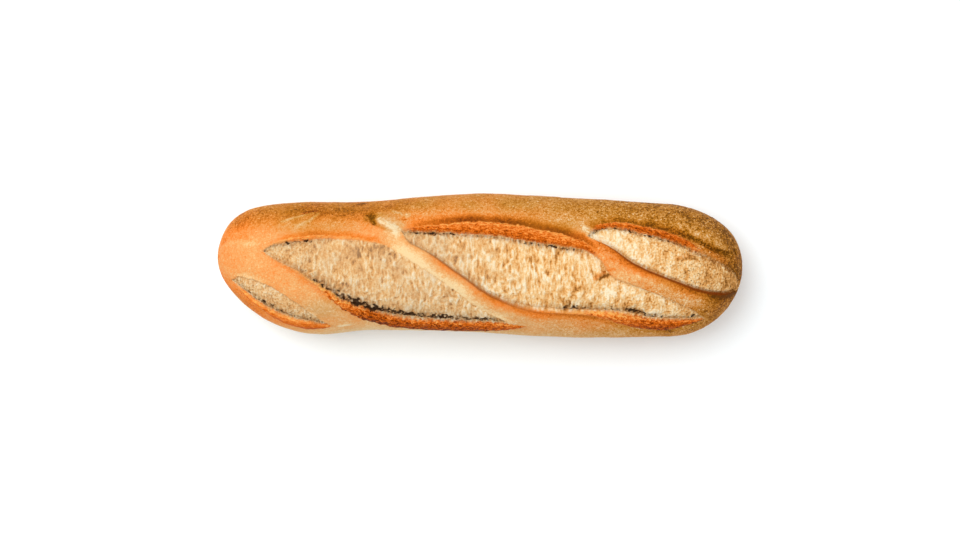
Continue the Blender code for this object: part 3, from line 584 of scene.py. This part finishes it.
for points, darker_by, warmer in FOLDS:
    reach = FOLD_REACH * max(point[3] for point in points) * MM
    distance, (along, raised, half_width) = nearest_on_curve(curve_on_crust(points), reach)
    share = bell(distance / np.maximum(half_width * MM, NARROWEST_FOLD))
    height += raised * MM * share
    fade_length = FOLD_FADE * along.max()
    share = share * ease(along / fade_length) * ease((along.max() - along) / fade_length)
    # a sunken fold's added brown is painted shade in its hollow
    fold_brown_and_shade += darker_by * share * fold_ragged
    fold_warm += warmer * share

# ----------------------------------------------------------------------------------------
# The crumb. Torn dough dries into thin strands that run across the opening, with small
# holes between them, rougher near the dark gap and toasted where it stands highest.


def ridges(noise):
    """Turn noise into thin raised strands along the lines where it changes sign."""
    return 1 - np.minimum(np.abs(noise) / 0.45, 1)


def strands_of(across, along, seed, change=1):
    """Noise drawn out round the loaf into strands, with two sizes in millimetres."""
    places = np.stack((strand_places / across, round_loaf / (along * MM), change * drift), axis=1)
    return bumps(places, seed)


def spot(at, at_angle, length, spread):
    """A soft spot on the crust: 1 at its middle, fading over its length and its spread."""
    return np.exp(-((place - at) / length) ** 2 - ((degrees - at_angle) / spread) ** 2)


STRAND_LEAN = 0.06  # how far the strands lean along the loaf as they run round it
drift = 1.1 * lumps(8, 21) + 0.3 * lumps(2.6, 27)  # makes them wave
strand_places = place + drift + STRAND_LEAN * round_loaf / MM
broad_strands = strands_of(2.5, 8, 22)
strands = strands_of(1.15, 3.2, 23, change=2)
thin_strands = ridges(strands_of(1.3, 5, 30, change=2)) - 0.35

# The broad strands are in the middle and right cuts, and the ends of the loaf are grainy.
BROAD_STRANDS, STRANDS, THIN_STRANDS, STRANDS_LOST_TO_GRAINS = 0.65, 0.95, 0.75, 0.7
LEAST_GRAINS, MORE_GRAINS = 0.14, 0.65
coarse = 0.3 + 0.7 * rise(place, -35, -10)
granular = np.clip(0.2 + 0.7 * rise(-place, 60, 80) + 0.7 * rise(place, 34, 64), 0, 1)
unevenness = np.clip(0.9 + 0.5 * lumps(5, 26), 0.4, 1.5) * (1 - 0.4 * spot(60, 14, 22, 16))
crumb_relief = STRANDS * strands + THIN_STRANDS * thin_strands
crumb_relief *= 1 - STRANDS_LOST_TO_GRAINS * granular
crumb_relief = (crumb_relief + BROAD_STRANDS * coarse * broad_strands) * unevenness
crumb_relief += (LEAST_GRAINS + MORE_GRAINS * granular) * lumps(0.8, 24)

STRAND_HEIGHT, LUMP_HEIGHT = 0.45 * MM, 0.15 * MM
height += crumb * STRAND_HEIGHT * crumb_relief
height += crumb * LUMP_HEIGHT * (1 + coarse) * lumps(3.2, 25)
PIT_START, PIT_RISE, PIT_SINKS = 0.9, 0.4, 0.35 * MM
height -= ease((pits - PIT_START) / PIT_RISE) * PIT_SINKS

crumb_seen = crumb * (1 - np.clip(fold_warm, 0, 1))  # less the scraps of skin on it
grey = np.clip(0.6 + 0.35 * lumps(6, 28), 0, 1) * rise(-place, -30, 20)

# ----------------------------------------------------------------------------------------
# The crust. The skin sets with shallow dents, fine wrinkles and tiny blisters, and it
# browns most where it bulges into the oven's heat: along the top side and the right end.

# Each row is a soft patch: its place, angle, half length and half spread, and how much it
# adds to the browning of the skin, to its orange, to the toasting of the crumb, or to the
# freckles on the skin.
BROWNER = (
    (-64, 58, 38, 22, 0.26), (-66, 40, 14, 6, -0.08), (-109, 10, 8, 50, 0.10), (-98, 40, 12, 16, 0.12),
    (-98, -64, 16, 20, 0.32), (108, -10, 14, 70, 0.37), (96, -60, 20, 24, 0.10), (66, -7, 20, 7, -0.22),
    (86, -24, 14, 8, -0.20), (24, -54, 12, 7, -0.13), (-26, 10, 11, 9, -0.27), (-8, -16, 12, 9, -0.08),
    (-86, -74, 18, 12, 0.16), (-88, -6, 30, 34, 0.08), (-72, 36, 18, 9, 0.05), (78, -72, 14, 12, 0.14),
    # The patch at -6, 37 browns the skin behind the middle cut's upper lip, partly as painted shade.
    (92, 34, 24, 16, 0.07), (-6, 37, 26, 6, 0.22), (46, 14, 7, 9, 0.04), (20, -62, 40, 16, 0.06),
    (50, 10, 8, 8, -0.06),
)
WARMER = (
    (-105, 30, 14, 50, 0.5), (52, 6, 20, 18, 1.4), (80, -18, 18, 14, 0.3), (-66, -38, 10, 14, -0.9),
    (-14, -10, 14, 8, -0.1), (-72, 36, 18, 9, -0.6), (-66, 56, 40, 22, 0.15), (-88, -74, 20, 14, 0.6),
    (-6, 40, 28, 8, 0.25), (26, -54, 10, 7, -0.2), (28, 33, 22, 8, -0.45),
)
TOASTIER = (
    (-46, 0, 26, 24, 0.10), (46, -26, 20, 8, 0.04), (52, 20, 14, 14, -0.16), (54, -18, 18, 12, -0.10),
    (-55, 14, 22, 9, 0.07), (-45, 14, 14, 7, 0.22), (-26, 18, 10, 12, 0.10),
)
FRECKLED = ((56, 2, 24, 16, 1), (8, -22, 22, 16, 0.5))


def patches(rows):
    """Add up soft patches, each a spot and its strength."""
    return sum(strength * spot(*where) for *where, strength in rows)


# Where the skin is: under the loaf, on its +Y and -Y sides, and towards its right end.
under = rise(np.abs(degrees), 100, 170)
off_tips = rise(LENGTH / 2 - np.abs(x), 0, 9 * MM)
top_side = (rise(degrees, 25, 60) * (1 - under) + 0.5 * under) * off_tips
low_side = (rise(-degrees, 50, 85) * (1 - under) + 0.5 * under) * off_tips
to_right = rise(place, -10, 110)

DENT_HEIGHT, RIPPLE_HEIGHT, WRINKLE_HEIGHT = 0.25 * MM, 0.10 * MM, 0.06 * MM
skin_grain = 0.4 + 0.3 * top_side + 0.7 * to_right - 0.3 * spot(62, -4, 30, 14)
skin_grain = np.clip(skin_grain, 0.1, 1.3) * (1 - 0.7 * np.clip(shaded_furrows, 0, 1))
height += (1 - crumb) * (DENT_HEIGHT * lumps(17, 31) + RIPPLE_HEIGHT * lumps(4.5, 32))
height += (1 - crumb) * WRINKLE_HEIGHT * skin_grain * lumps(1.1, 33, octaves=2)

# How brown and how orange the skin baked, from 0 to 1, and how toasted the crumb. These
# also carry the painted shade of the sunken folds, and of one patch behind a lip.
brown = 0.27 + 0.27 * top_side + 0.26 * to_right - 0.12 * low_side * (1 - to_right)
brown += patches(BROWNER) + fold_brown_and_shade * (1 - crumb_seen)
brown += 0.05 * lumps(16, 34) + 0.05 * lumps(8, 41)
brown += 0.5 * np.clip(lumps(2.4, 42) - 0.2, 0, 1) * patches(FRECKLED)
brown += skin_grain * (0.10 * lumps(5, 35) + 0.07 * lumps(1.6, 36))
brown = np.clip(brown, 0, 1)
warm = 0.9 - 0.7 * top_side - 0.9 * low_side - 0.9 * to_right
warm = np.clip(warm + patches(WARMER) + fold_warm + 0.25 * lumps(9, 37), 0, 1)

toast = 0.41 + 0.16 * lumps(6, 38)
toast += 0.07 * rise(-place, 55, 75) + 0.22 * rise(place, 80, 108)
toast += 0.25 * np.clip(lumps(3.6, 29) - 0.25, 0, 1) * rise(place, -20, 30)
toast += patches(TOASTIER) + 0.6 * fold_brown_and_shade
bran = 0.8 * rise(place, 58, 92) + 0.4 * rise(-place, 55, 75)  # specks of it in the crumb

# ----------------------------------------------------------------------------------------
# The mesh. The loaf is closed by one point at each tip, and lies where the solid lies. The
# grid of columns and rows becomes four-sided faces, with a fan of triangles at each tip.

shaped = plain + normals * np.where(on_base, 0, height)[:, None]
shaped[:, 2] = np.maximum(shaped[:, 2], 0)
tips = plain_loaf(np.array((-LENGTH / 2, LENGTH / 2)), np.zeros(2))
shaped = np.concatenate((shaped, tips))
low, high = shaped.min(axis=0), shaped.max(axis=0)
solid_low, solid_high = (np.array(corner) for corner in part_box("loaf"))
shaped[:, :2] += ((solid_low + solid_high) / 2 - (low + high) / 2)[:2]

ring_count, ring_size = grid_shape
starts = np.arange(ring_count * ring_size).reshape(grid_shape)
following = np.roll(starts, -1, axis=1)
quads = np.stack((starts[:-1], starts[1:], following[1:], following[:-1]), axis=-1).reshape(-1, 4)
left_tip, right_tip = ring_count * ring_size, ring_count * ring_size + 1
left_fan = np.stack((np.full(ring_size, left_tip), starts[0], following[0]), axis=-1)
right_fan = np.stack((np.full(ring_size, right_tip), following[-1], starts[-1]), axis=-1)

mesh = bpy.data.meshes.new("baked_loaf")
mesh.vertices.add(len(shaped))
mesh.vertices.foreach_set("co", shaped.ravel())
face_corners = np.concatenate((quads.ravel(), left_fan.ravel(), right_fan.ravel()))
mesh.loops.add(len(face_corners))
mesh.loops.foreach_set("vertex_index", face_corners)
sides = np.concatenate((np.full(len(quads), 4), np.full(2 * ring_size, 3)))
mesh.polygons.add(len(sides))
mesh.polygons.foreach_set("loop_start", np.concatenate(([0], np.cumsum(sides)[:-1])))
mesh.update(calc_edges=True)
mesh.validate()
mesh.shade_smooth()

# The map unrolls the crust: along the loaf one way and round it the other. A face that
# closes a ring takes 1 in place of 0 for its share of the way round.
MAP_MARGIN = 0.004
share_along = np.repeat(np.linspace(MAP_MARGIN, 1 - MAP_MARGIN, ring_count), ring_size)
share_round = np.tile(np.arange(ring_size) / ring_size, ring_count)
vertex_map = np.stack((share_along, share_round), axis=1)
quad_map = vertex_map[quads]
quad_rows = quads % ring_size
closing = (quad_rows.max(axis=1) == ring_size - 1) & (quad_rows.min(axis=1) == 0)
quad_map[closing[:, None] & (quad_rows == 0), 1] = 1.0
face_maps = [quad_map.reshape(-1, 2)]
for fan, tip_share in ((left_fan, 0.0), (right_fan, 1.0)):
    rim_map = vertex_map[fan[:, 1:]]
    closing = np.ptp(rim_map[:, :, 1], axis=1) > 0.5
    rim_map[closing[:, None] & (rim_map[:, :, 1] < 0.5), 1] = 1.0
    tip_map = np.stack((np.full(ring_size, tip_share), rim_map[:, :, 1].mean(axis=1)), axis=1)
    face_maps.append(np.concatenate((tip_map[:, None], rim_map), axis=1).reshape(-1, 2))
layer = mesh.uv_layers.new(name="OFBake")
layer.data.foreach_set("uv", np.concatenate(face_maps).ravel())

# What the finish reads at each place.
measures = dict(
    crumb=crumb_seen, crumb_relief=crumb_relief, toast=toast, grey=grey, bran=bran,
    torn=torn, torn_bake_and_shade=torn_bake_and_shade, torn_rough=torn_rough, torn_along=torn_along,
    torn_across=torn_across, pits=pits, gap_shadow=gap_shadow, shaded_furrows=shaded_furrows,
    crease_brown_and_shade=crease_brown_and_shade, brown=brown, warm=warm, skin_grain=skin_grain,
)
for name, values in measures.items():
    attribute = mesh.attributes.new(name, "FLOAT", "POINT")
    at_tips = (values[0], values[-1])
    attribute.data.foreach_set("value", np.append(values, at_tips).astype(np.float32))

# ----------------------------------------------------------------------------------------
# The finish. The skin runs from straw through orange to dark brown, the torn faces split
# into orange and brown layers, and the crumb is pale dough, toasted on its strands, with
# painted light on their tops and painted shade between them. All are matte, and the
# measures made above say where each one shows.

LIGHT_ON_TABLE = 1.25  # times what shows a white surface as white

# Each scale runs from pale to dark by stops of place and of colour as a screen shows it.
COOL_SKIN = (
    (0.0, (240, 216, 172)), (0.25, (224, 174, 114)), (0.5, (208, 143, 62)),
    (0.75, (177, 109, 16)), (1.0, (102, 60, 4)))
WARM_SKIN = (
    (0.0, (248, 212, 154)), (0.25, (238, 172, 104)), (0.4, (239, 151, 80)),
    (0.55, (238, 131, 46)), (0.75, (195, 98, 18)), (1.0, (114, 52, 4)))
CRUMB = (
    (0.0, (255, 238, 202)), (0.35, (245, 203, 143)), (0.65, (226, 160, 86)), (1.0, (142, 90, 34)))
TORN_FACE = (
    (0.0, (250, 184, 96)), (0.25, (246, 144, 62)), (0.5, (218, 104, 14)),
    (0.75, (178, 78, 4)), (1.0, (90, 36, 0)))
GREY_CRUMB, SHADED_CRUMB, BRAN_SPECK = (198, 168, 134), (122, 84, 48), (120, 78, 32)
# The crease colour is the crust's brown with painted shade in it; the gap colour is painted shade in
# the opening, with burnt edges.
CREASE_SHADE_BROWN, GAP_SHADE_BROWN = (136, 60, 4), (50, 28, 12)

crust = bpy.data.materials.new("crust")
crust.use_nodes = True
tree = crust.node_tree
shader = tree.nodes["Principled BSDF"]


def paint(colour):
    """Find the paint that shows, in this light, as a colour from 0 to 255 on a screen."""
    seen = np.array(colour) / 255
    light = np.where(seen <= 0.04045, seen / 12.92, ((seen + 0.055) / 1.055) ** 2.4)
    return (*(light / LIGHT_ON_TABLE).tolist(), 1)


def add_node(kind, settings=None, inputs=None):
    """Add a node to the crust, set its own settings, and set or link its inputs."""
    node = tree.nodes.new("ShaderNode" + kind)
    for name, value in (settings or {}).items():
        setattr(node, name, value)
    for name, value in (inputs or {}).items():
        if isinstance(value, bpy.types.NodeSocket):
            tree.links.new(value, node.inputs[name])
        else:
            node.inputs[name].default_value = value
    return node


def reading(name):
    """Read one of the loaf's own measures at each place."""
    return add_node("Attribute", {"attribute_name": name}).outputs["Fac"]


def maths(operation, first, second=0.0, third=0.0):
    """Work out one number from others at each place."""
    node = add_node("Math", {"operation": operation}, {0: first, 1: second, 2: third})
    return node.outputs[0]


def above(value, start):
    """Keep of a number only what is above a start."""
    return maths("MAXIMUM", maths("SUBTRACT", value, start), 0.0)


def blend(share, first, second):
    """Mix two colours by a share."""
    settings = {"data_type": "RGBA", "blend_type": "MIX", "clamp_factor": True}
    return add_node("Mix", settings, {0: share, 6: first, 7: second}).outputs[2]


def colour_scale(factor, stops):
    """Turn a number into a colour by stops of place and colour."""
    node = add_node("ValToRGB", inputs={"Fac": factor})
    ramp = node.color_ramp
    while len(ramp.elements) < len(stops):
        ramp.elements.new(0.5)
    for element, (position, colour) in zip(ramp.elements, stops):
        element.position = position
        element.color = paint(colour)
    return node.outputs["Color"]


def noise(places, detail):
    """Noise from about -0.5 to 0.5, with one bump to each unit of the places."""
    node = add_node("TexNoise", inputs={"Vector": places, "Scale": 1.0, "Detail": detail})
    return maths("SUBTRACT", node.outputs["Fac"], 0.5)


def grain(size, detail=1.0, stretch=1.0):
    """Fine noise with bumps of a size in millimetres, drawn out across the loaf by a stretch."""
    point = add_node("TexCoord").outputs["Object"]
    per_metre = 1 / (size * MM)
    scale = (per_metre, per_metre / stretch, per_metre / stretch)
    scaled = add_node("VectorMath", {"operation": "MULTIPLY"}, {0: point, 1: scale})
    return noise(scaled.outputs[0], detail)


# The skin, mottled with pale flecks where it is grainy, and browner along the furrows,
# partly as painted shade behind the lips.
SKIN_SPECKLES, SKIN_FLECKS, SKIN_MOTTLES = 1.1, -1.9, 0.9
FURROW_SHADE_BROWNS, FURROW_WARMS = 0.6, 0.3
speckle = grain(0.55)
flecks = above(grain(0.8), 0.06)
mottling = maths("MULTIPLY", speckle, SKIN_SPECKLES)
mottling = maths("MULTIPLY_ADD", flecks, SKIN_FLECKS, mottling)
mottling = maths("MULTIPLY_ADD", grain(1.4, detail=3.0), SKIN_MOTTLES, mottling)
skin_grain_here = reading("skin_grain")
browning = maths("MULTIPLY_ADD", mottling, skin_grain_here, reading("brown"))
browning = maths("MULTIPLY_ADD", reading("shaded_furrows"), FURROW_SHADE_BROWNS, browning)
warmth = maths("MULTIPLY_ADD", reading("shaded_furrows"), FURROW_WARMS, reading("warm"))
cool_skin = colour_scale(browning, COOL_SKIN)
skin = blend(warmth, cool_skin, colour_scale(browning, WARM_SKIN))

# The crumb, paler where its strands stand up and darker between them, as painted light and
# shade, greyer in the left half, darker where it runs down into a gap, as painted shade, and
# specked with bran towards both ends.
RELIEF_PAINTED_LIGHT, CRUMB_GRAINS, CRUMB_FIBRES = -0.5, 0.5, 0.7
GREY_SHARE, SHADED_SHARE, BRAN_CONTRAST = 0.5, 0.8, 7.0
relief = reading("crumb_relief")
tone = maths("MULTIPLY_ADD", relief, RELIEF_PAINTED_LIGHT, reading("toast"))
tone = maths("MULTIPLY_ADD", grain(0.5), CRUMB_GRAINS, tone)
tone = maths("MULTIPLY_ADD", grain(0.6, detail=2.0, stretch=3.0), CRUMB_FIBRES, tone)
crumb_colour = colour_scale(tone, CRUMB)
grey_share = maths("MULTIPLY", reading("grey"), GREY_SHARE)
crumb_colour = blend(grey_share, crumb_colour, paint(GREY_CRUMB))
shaded_share = maths("MULTIPLY", reading("gap_shadow"), SHADED_SHARE)
crumb_colour = blend(shaded_share, crumb_colour, paint(SHADED_CRUMB))
specks = maths("MULTIPLY", above(grain(0.6), 0.08), BRAN_CONTRAST)
bran_share = maths("MULTIPLY", specks, reading("bran"))
crumb_colour = blend(bran_share, crumb_colour, paint(BRAN_SPECK))

# The torn faces, in layers that run along their edge.
LAYER_SIZE = (2.0, 0.8)  # along the edge and up the face, in millimetres
TORN_LAYERS, TORN_SPECKLES = -1.8, -1.3
layer_x = maths("MULTIPLY", reading("torn_along"), 1 / LAYER_SIZE[0])
layer_y = maths("MULTIPLY", reading("torn_across"), 1 / LAYER_SIZE[1])
on_face = add_node("CombineXYZ", inputs={"X": layer_x, "Y": layer_y}).outputs["Vector"]
torn_layers = noise(on_face, 2.0)
torn_speckle = maths("MULTIPLY", speckle, TORN_SPECKLES)
torn_mottle = maths("MULTIPLY_ADD", torn_layers, TORN_LAYERS, torn_speckle)
torn_roughness = reading("torn_rough")
torn_tone = maths("MULTIPLY_ADD", torn_mottle, torn_roughness, reading("torn_bake_and_shade"))
torn_colour = colour_scale(torn_tone, TORN_FACE)

# The dark gaps, with speckled edges, painted near-black as shade in the opening under the lip and as
# burnt edges.
GAP_START, GAP_CONTRAST, GAP_MOST = 0.9, 2.2, 0.94
gap_edge = maths("ADD", speckle, maths("SUBTRACT", reading("pits"), GAP_START))
gap_shade_share = maths("MINIMUM", maths("MULTIPLY", gap_edge, GAP_CONTRAST), GAP_MOST)

whole = blend(reading("crumb"), skin, crumb_colour)
whole = blend(reading("torn"), whole, torn_colour)
# the creases, part crust brown and part painted shade, then the dark gaps, painted shade with burnt
# edges
whole = blend(reading("crease_brown_and_shade"), whole, paint(CREASE_SHADE_BROWN))
whole = blend(gap_shade_share, whole, paint(GAP_SHADE_BROWN))
tree.links.new(whole, shader.inputs["Base Color"])

SKIN_ROUGHNESS, CRUMB_ROUGHER = 0.58, 0.25
rough = maths("MULTIPLY_ADD", reading("crumb"), CRUMB_ROUGHER, SKIN_ROUGHNESS)
tree.links.new(rough, shader.inputs["Roughness"])
shader.inputs["Specular IOR Level"].default_value = 0.03

LAYER_BUMPS = 1.5  # times those of the fine grain
torn_bumps = maths("MULTIPLY", torn_layers, torn_roughness)
fine_bumps = maths("ADD", speckle, grain(0.9))
bump_height = maths("MULTIPLY_ADD", torn_bumps, LAYER_BUMPS, fine_bumps)
bump_inputs = {"Strength": 0.5, "Distance": 0.5 * MM, "Height": bump_height}
bump = add_node("Bump", inputs=bump_inputs)
tree.links.new(bump.outputs["Normal"], shader.inputs["Normal"])

loaf = bpy.data.objects.new("baked_loaf", mesh)
bpy.context.scene.collection.objects.link(loaf)
mesh.materials.append(crust)
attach(loaf, "root")
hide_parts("loaf")

# ----------------------------------------------------------------------------------------
# The table: a plain sheet of white paper under the loaf, wide enough to fill the picture
# from any side.

HALF_TABLE = 3.0
WHITE_PAPER = (0.92, 0.965, 0.985, 1)  # a cool white
table_mesh = bpy.data.meshes.new("white_table")
corners = [(HALF_TABLE * a, HALF_TABLE * b, 0) for a, b in ((-1, -1), (1, -1), (1, 1), (-1, 1))]
table_mesh.from_pydata(corners, [], [(0, 1, 2, 3)])
table = bpy.data.objects.new("white_table", table_mesh)
bpy.context.scene.collection.objects.link(table)
white = bpy.data.materials.new("white_paper")
white.use_nodes = True
paper_shader = white.node_tree.nodes["Principled BSDF"]
paper_shader.inputs["Base Color"].default_value = WHITE_PAPER
paper_shader.inputs["Roughness"].default_value = 0.9
table_mesh.materials.append(white)

# ----------------------------------------------------------------------------------------
# The light: a large soft lamp high on the left, which shades the right side of each lip,
# and an even white room round it, which fills the shadows.

LAMP_PLACE = (-0.65, 0.5, 1.38)
LAMP_SIZE = 1.5
LAMP_WATTS = 14.2 * LIGHT_ON_TABLE
ROOM_LIGHT = 0.71 * LIGHT_ON_TABLE
lamp_data = bpy.data.lights.new("soft_lamp", "AREA")
lamp_data.shape = "DISK"
lamp_data.size = LAMP_SIZE
lamp_data.energy = LAMP_WATTS
lamp = bpy.data.objects.new("soft_lamp", lamp_data)
lamp.location = LAMP_PLACE
lamp.rotation_euler = (-lamp.location).to_track_quat("-Z", "Y").to_euler()
bpy.context.scene.collection.objects.link(lamp)

room = bpy.data.worlds.new("white_room")
room.use_nodes = True
background = room.node_tree.nodes["Background"]
background.inputs["Color"].default_value = (1, 1, 1, 1)
background.inputs["Strength"].default_value = ROOM_LIGHT
bpy.context.scene.world = room
bpy.context.scene.view_settings.view_transform = "Standard"

# ----------------------------------------------------------------------------------------
# The camera looks straight down through a long lens, as in the photo, and frames the loaf
# as the photo does.

LOAF_PIXELS, PICTURE_PIXELS = 524, 960  # the loaf's length and the photo's width, in the photo
PIXEL = LENGTH / LOAF_PIXELS
PICTURE_WIDTH = PICTURE_PIXELS * PIXEL
CAMERA_HEIGHT = 1.3
BELOW_MIDDLE = 4.5 * PIXEL
camera_data = bpy.data.cameras.new("camera")
camera_data.lens = camera_data.sensor_width * (CAMERA_HEIGHT - WIDEST_HEIGHT) / PICTURE_WIDTH
camera = bpy.data.objects.new("camera", camera_data)
camera.location = (0, -BELOW_MIDDLE, CAMERA_HEIGHT)
bpy.context.scene.collection.objects.link(camera)
bpy.context.scene.camera = camera
